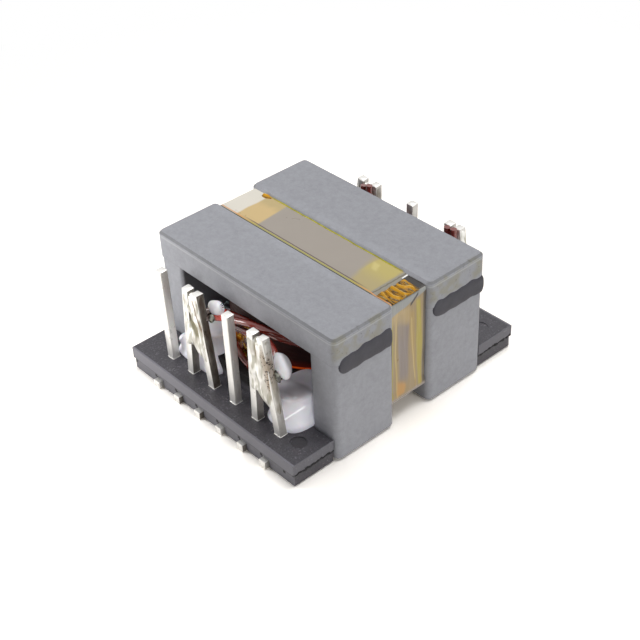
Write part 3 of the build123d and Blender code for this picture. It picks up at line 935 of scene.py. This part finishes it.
def amber_band(paint):
    place = paint.place()
    x, y, z = place.axes()
    cloud = place.noise(0.5, 2.0)
    wobble = place.noise(0.9, 1.0) - 0.5
    fine_wobble = place.noise(2.4, 2.0) - 0.5
    colour = cloud.between(rgb(156, 147, 137), rgb(163, 154, 144))

    top = z.rise(10.5, 10.65) * abs(x).rise(9.36, 9.3)
    left_zone = (x + y * 0.1).rise(-5.1, -5.35)
    left_colour = (y + wobble).rise(0.2, 1.2).between(rgb(208, 180, 124), rgb(190, 168, 116))
    right_zone = (x + y * 0.2 + wobble * 0.3).rise(4.4, 5.1)
    patch = (x + wobble * 0.3).within(5.95, 1.05, 0.25) * (y + wobble * 0.3).rise(-0.9, 0.9)
    glint = (x + y * 0.6 + fine_wobble * 0.4).within(5.75, 0.12, 0.35) * y.within(0.8, 0.2, 0.35)
    # The top's far left end is painted near white, a painted sheen.
    painted_far_left_sheen = (x + wobble * 0.2).rise(-7.35, -7.6)
    strip = x.rise(7.15, 7.3)
    strip_line = (x + fine_wobble * 0.16).within(7.42, 0.02, 0.05)
    # Near black at the rear right of the top: painted shade of a shadowed gap by the rear block's
    # corner.
    painted_pocket_shade = x.rise(7.55, 7.75) * (y + fine_wobble * 0.2).rise(0.95, 1.15)
    glint_line = (x + y * 0.05).within(7.66, 0.045, 0.02) * y.rise(1.1, 1.2)
    middle_part = abs(x).rise(7.2, 5.2)
    rim = (y + fine_wobble * 0.03).rise(-1.66, -1.7)
    edge_line = (y + fine_wobble * 0.03).within(-1.61, 0.03, 0.03)
    dark_line = (y + fine_wobble * 0.04).within(-1.47, 0.03, 0.04) * middle_part
    colour = (left_zone * top).between(colour, left_colour)
    colour = layered(colour, top, [
        (right_zone, (176, 160, 112)), (patch * 0.8, (192, 176, 96)),
        (glint * 0.5, (218, 204, 136)), (painted_far_left_sheen * 0.9, (228, 224, 214)),
        (strip, (146, 141, 128)), (strip_line * 0.7, (88, 78, 56)),
        (painted_pocket_shade, (34, 27, 22)), (glint_line, (250, 250, 250)),
        (rim * 0.8, (104, 98, 62)), (edge_line * middle_part, (176, 170, 50)),
        (edge_line * (1 - middle_part) * 0.8, (232, 150, 72)), (dark_line * 0.85, (78, 54, 40))])

    side_part = abs(x).rise(9.3, 9.36)
    down = 9.5 - z
    slack = place.stretched(1.0, 1.0, 0.3).noise(0.9, 1.0) - 0.5
    y_side = y + slack * 0.3
    centre = (y_side - down * 0.02).rise(-1.15, -0.9) * (y_side + down * 0.02).rise(0.22, -0.02)
    centre *= z.rise(2.6, 4.2) * (z + wobble).rise(9.4, 7.9)
    left_line = (y_side - abs(down - 3.5) * 0.05).within(-1.3, 0.04, 0.09)
    thin_left = y.within(-1.6, 0.04, 0.04)
    amber_edges = abs(y_side - down * 0.065 - 0.25) + down * 0.03
    amber = amber_edges.rise(0.34, 0.16) * z.rise(9.7, 8.9)
    bright = (y_side - down * 0.065).within(0.22, 0.015, 0.05) * z.rise(8.9, 8.5) * z.rise(2.6, 3.2)
    yellow_edges = abs(y_side - down * 0.03 - 0.95) + abs(down - 3.2) * 0.035
    yellow = yellow_edges.rise(0.42, 0.22) * z.rise(10.2, 9.8)
    # The rear rim of the band's side is painted dark: painted shade of the gap between the film and
    # the rear block.
    painted_rear_gap_shade = (y_side * 0.3 + y * 0.7).rise(1.34, 1.54)
    patch_high = (z + y * 0.45 + wobble * 0.6).within(9.05, 0.3, 0.9) * y.rise(0.3, 0.0)
    patch_low = ((z + y * 0.6 + wobble * 0.6).rise(3.3, 2.6) * z.rise(2.1, 2.4)
                 * (y + wobble * 0.4).within(-0.75, 0.24, 0.3))
    fold = (z + wobble * 0.2).rise(2.25, 2.05)
    fold_line = (z + wobble * 0.1).within(1.88, 0.05, 0.05)
    grey = (z - y * 0.22 + wobble * 0.25).rise(9.95, 10.1)
    crease = (z - y * 0.8 - 9.72).within(0.0, 0.09, 0.06) * y.within(0.55, 0.35, 0.08)
    colour = layered(side_part.between(colour, rgb(160, 138, 100)), side_part, [
        (centre, (140, 128, 121)), (left_line * 0.8, (194, 172, 112)),
        (thin_left * 0.7, (168, 158, 62)), (amber * 0.7, (176, 146, 74)),
        (bright * 0.6, (210, 190, 132)), (yellow * 0.85, (178, 162, 58)),
        (painted_rear_gap_shade * 0.85, (58, 54, 47)), (patch_high * 0.7, (190, 164, 114)),
        (patch_low * 0.8, (200, 148, 74)), (fold * 0.8, (160, 148, 142)),
        (fold_line * 0.6, (200, 192, 186)), (grey, (152, 154, 152)), (crease, (58, 52, 46))])
    folds = place.stretched(1.0, 2.5, 0.2).noise(1.2, 2.0)
    return {"Base Color": colour, "Roughness": 0.24 + cloud * 0.12, "Coat Weight": 0.1,
            "Normal": (side_part * folds).bump(0.25, 0.4)}


def band_section():
    """The band's middle line in the plane of its length: across the top, dipping under the
    folds at the right, down both ends, and slanting under to the flat below, with rounded
    corners. It runs once round."""
    under_folds, underside = 10.7, 0.32
    corners = np.array([(-band_end, band_top), (7.3, band_top), (7.6, under_folds),
                        (band_end, under_folds), (band_end, 1.8), (5.0, underside),
                        (-5.0, underside), (-band_end, 2.2)])
    ahead = np.roll(corners, -1, 0) - corners
    length = np.linalg.norm(ahead, axis=1)
    rounding = np.minimum(0.25, 0.45 * np.minimum(length, np.roll(length, 1)))
    line = []
    for index, corner in enumerate(corners):
        after = (index + 1) % len(corners)
        forward = ahead[index] / length[index]
        back = -ahead[index - 1] / length[index - 1]
        start, end = corner + back * rounding[index], corner + forward * rounding[index]
        part = np.linspace(0, 1, 6)[:, None]
        line.append((1 - part) ** 2 * start + 2 * part * (1 - part) * corner + part ** 2 * end)
        far = corners[after] - forward * rounding[after]
        run = np.linspace(0, 1, int(length[index] / 0.12) + 2)[1:-1, None]
        line.append(end + (far - end) * run)
    return np.concatenate(line)


def waist_band():
    """The middle line carried across the waist, with slow waves down the sides, as a thin
    closed shell: outer points, then inner points on the way back."""
    line = band_section()
    ahead = np.roll(line, -1, 0) - np.roll(line, 1, 0)
    ahead /= np.linalg.norm(ahead, axis=1, keepdims=True)
    outward = np.stack([-ahead[:, 1], ahead[:, 0]], -1)
    across = np.linspace(-1, 1, 41)
    x, z = line[:, :1], line[:, 1:]
    side_part = np.clip((10.2 - z) / 0.8, 0, 1) * np.clip((z - 2.0) / 0.8, 0, 1)
    side_part *= np.abs(x) > 9.1
    sway = side_part * 0.05 * np.sin(across * 3.1 + 0.8 + z * 0.25) * np.sin(z * 0.55)
    sway -= side_part * 0.02
    shells = []
    for lift in (0.025, -0.035):
        push = lift + sway
        shells.append(np.stack([x + outward[:, :1] * push,
                                band_half * across[None] * (1 - 0.03 * side_part),
                                z + outward[:, 1:] * push], -1))
    return np.concatenate([shells[0], shells[1][:, ::-1]], 1)


band_points = waist_band()
piece("waist_band", band_points, grid_faces(*band_points.shape[:2], True, True),
      surface("amber_band", amber_band), "amber_film", ["core_tape"], sharp=50)


def curled_edge():
    """The film's rear edge on the top: a narrow strip that curls up along the rear block's
    rim, with a slight wander along its length."""
    x = np.linspace(-7.5, 7.1, 160)[:, None]
    over = np.linspace(0, 1, 8)[None]
    wander = 0.012 * np.sin(x * 1.9) + 0.008 * np.sin(x * 4.3 + 1)
    y = 1.68 + 0.055 * over + wander
    z = band_top + 0.03 + 0.08 * over
    return np.stack(np.broadcast_arrays(x, y, z), -1)


def yellow_rim(paint):
    place = paint.place()
    x = place.axis("X")
    wander = place.noise(1.2, 2.0)
    colour = wander.rise(0.35, 0.6).between(rgb(160, 154, 44), rgb(190, 184, 58))
    colour = (abs(x) + wander).rise(6.6, 7.6).between(colour, rgb(170, 158, 96))
    return {"Base Color": colour, "Roughness": 0.4 + wander * 0.1, "Specular IOR Level": 0.2}


piece("curled_edge", *thin_sheet(curled_edge(), (0, 0.01, -0.025)),
      surface("yellow_rim", yellow_rim), "amber_film", sharp=80)


def crumpled_film(paint):
    place = paint.place()
    height = paint.kept("height")
    cloud = place.noise(3.2, 3.0)
    pleats = place.stretched(0.7, 6.0, 1.0).noise(1.6, 2.0, 0.6)
    colour = cloud.between(rgb(190, 128, 4), rgb(214, 160, 16))
    # The fold valleys are painted darker, a painted shade, with a few pale streaks in them, and the
    # crests carry a painted highlight.
    painted_valley_shade = height.rise(0.6, 0.2)
    colour = (painted_valley_shade * (0.35 + pleats.rise(0.45, 0.55) * 0.65)).between(colour, rgb(66, 44, 8))
    colour = (painted_valley_shade * pleats.rise(0.58, 0.64) * 0.8).between(colour, rgb(196, 176, 120))
    colour = (height + (cloud - 0.5) * 0.1).rise(0.82, 0.97).between(colour, rgb(250, 214, 120))
    return {"Base Color": colour, "Roughness": 0.34 + cloud * 0.12, "Specular IOR Level": 0.3,
            "Normal": (cloud + pleats).bump(0.1, 0.6)}


def fold_height(x, y):
    """Hairpin folds that run down the slope side by side: a wave across the band with sharp
    crests and wide valleys, which drifts sideways along the slope."""
    drift = 0.2 * np.sin((x - 7.5) * 2.1 + y * 1.3) + 0.07 * np.sin(y * 5 + x * 3)
    return (1 - np.abs(np.sin((y + drift + 0.12) * pi / 0.62)) ** 0.7) ** 0.8


def crumple(start, stop, left, right, base):
    """A slack end of film pushed into folds: a strip on the top, lifted by the folds, which
    fade out at all its edges."""
    slope = np.linspace(0, 1, 70)[:, None]
    across = np.linspace(left, right, 220)[None]
    x = start + slope * (stop - start) + (0.05 * np.sin(across * 7) - 0.04) * (1 - slope)
    edge = np.minimum(np.minimum(slope, 1 - slope) * 9,
                      np.minimum(across - left, right - across) * 7)
    wave = fold_height(x, across)
    z = base + fold_rise * wave * np.clip(edge, 0, 1) ** 0.6
    lean = across + 0.12 * np.sin(slope * 3) * wave
    return np.stack(np.broadcast_arrays(x, lean, z), -1)


crumpled_material = surface("crumpled_film", crumpled_film)
for name, extent in (("folded_film", (7.82, 9.39, -1.58, 1.1, 10.745)),
                     ("folded_corner", (-8.0, -7.1, 1.1, 1.7, 10.76))):
    folded = piece(name, *thin_sheet(crumple(*extent), (0, 0, -0.03)), crumpled_material,
                   "amber_film", sharp=80)
    keep(folded, "height", (coordinates(folded)[:, 2] - extent[-1]) / fold_rise)


# A flat bead of dark grey epoxy over the split line glues the two core pieces at both ends of
# both blocks. It was wiped on, so its edges wander and its skin is smooth.
bead_under = 9.6
bead_rim = 9.74
bead_dome = 0.13


def epoxy_face(paint):
    place = paint.place()
    cloud = place.noise(0.9, 2.0)
    fine = place.noise(7.0, 2.0)
    colour = cloud.between(rgb(58, 57, 64), rgb(74, 73, 80))
    return {"Base Color": colour, "Roughness": 0.45 + fine * 0.15, "Specular IOR Level": 0.25,
            "Normal": (cloud + fine * 0.15).bump(0.1, 0.5)}


epoxy_material = surface("grey_epoxy", epoxy_face)


def bead(name, end, start, stop, start_levels, stop_levels, seed):
    """A low pillow on the core's end face: it runs from start to stop between two levels,
    with a rounded start, wavy long edges and a domed skin."""
    along = np.linspace(0, 1, 90)[:, None]
    over = np.linspace(0, 1, 24)[None]
    wild = np.random.default_rng(seed)
    wave = sum(0.05 * np.sin(along * k + p) for k, p in zip((9, 17, 29), wild.uniform(0, 6, 3)))
    low = start_levels[0] + (stop_levels[0] - start_levels[0]) * along + wave * 0.4
    high = start_levels[1] + (stop_levels[1] - start_levels[1]) * along + wave * 0.8
    closing = np.sqrt(1 - (1 - np.clip(along / 0.13, 0, 1)) ** 2)
    closing *= np.sqrt(1 - (1 - np.clip((1 - along) / 0.05, 0, 1)) ** 2)
    middle = (low + high) / 2
    z = middle + (high - low) / 2 * closing * (2 * over - 1)
    y = start + (stop - start) * along
    dome = (1 - np.abs(2 * over - 1) ** 4) ** 0.5 * closing ** 0.5
    x = bead_rim + bead_dome * dome
    skin = np.stack(np.broadcast_arrays(end * x, y, z), -1)
    under = skin.copy()
    under[..., 0] = end * bead_under
    points = np.concatenate([skin, under[:, ::-1]], 1)
    piece(name, points, grid_faces(*points.shape[:2], round_columns=True), epoxy_material,
          "epoxy", [name.replace("glue", "epoxy_bead")], sharp=60)


bead("glue_front_right", 1, -7.05, -2.0, (7.75, 9.2), (7.7, 9.45), 1)
bead("glue_rear_right", 1, 2.1, 7.4, (7.7, 9.2), (7.55, 9.1), 2)
bead("glue_front_left", -1, -2.0, -7.0, (7.5, 9.0), (7.7, 9.1), 3)
bead("glue_rear_left", -1, 7.2, 2.0, (7.5, 8.95), (7.4, 9.0), 4)
